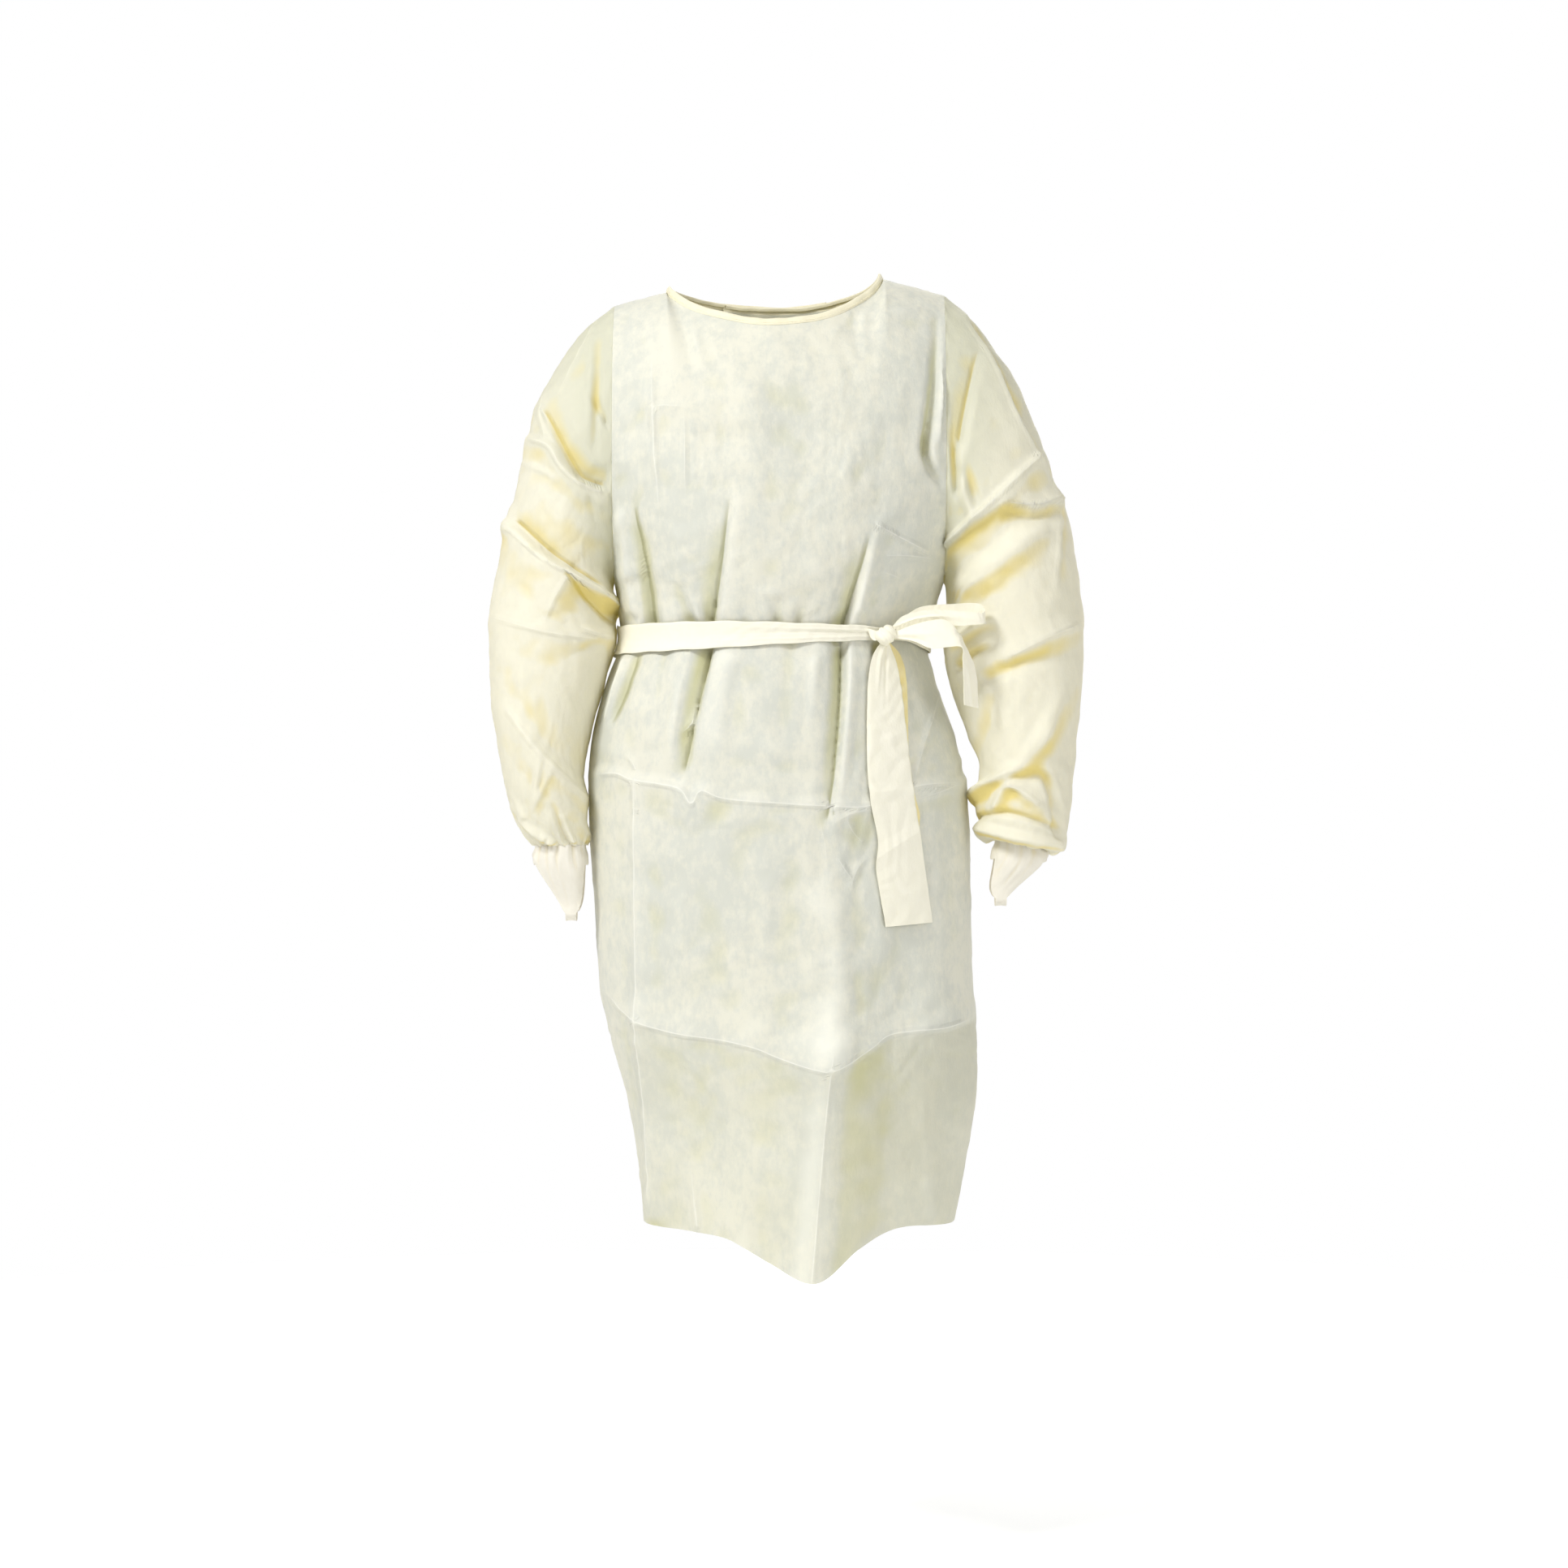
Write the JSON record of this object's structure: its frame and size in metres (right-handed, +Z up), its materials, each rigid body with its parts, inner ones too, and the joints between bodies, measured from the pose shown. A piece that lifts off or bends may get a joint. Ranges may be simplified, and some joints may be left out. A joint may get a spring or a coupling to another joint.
{
  "type": "isolation gown",
  "caption": "Long-sleeved disposable isolation gown, worn and hollow, with a round bound neck, lapped back, gathered wrists, thumb-loop cuffs and a tied waist belt.",
  "frame": {"origin": "between the two neck points, at the height of the shoulders, in the plane of the side seams: where a wearer holds the gown up", "axes": "+Z up the body, -Y out of the gown's front, +X towards the wearer's left sleeve, where the belt is tied"},
  "size_m": [0.675, 0.3187, 1.1291],
  "materials": {
    "nonwoven_cloth": "matt pale yellow nonwoven",
    "nonwoven_trim": "matt pale yellow nonwoven, doubled"
  },
  "bodies": {
    "root": {"front": "nonwoven_cloth", "back_left": "nonwoven_cloth", "back_right": "nonwoven_cloth", "sleeve_left": "nonwoven_cloth", "sleeve_right": "nonwoven_cloth", "cuff_left": "nonwoven_cloth", "cuff_right": "nonwoven_cloth", "neck_binding": "nonwoven_trim", "belt_front": "nonwoven_trim", "belt_back": "nonwoven_trim", "belt_knot": "nonwoven_trim", "belt_loop": "nonwoven_trim", "belt_tail_short": "nonwoven_trim", "belt_tail_long": "nonwoven_trim"}
  },
  "joints": []
}
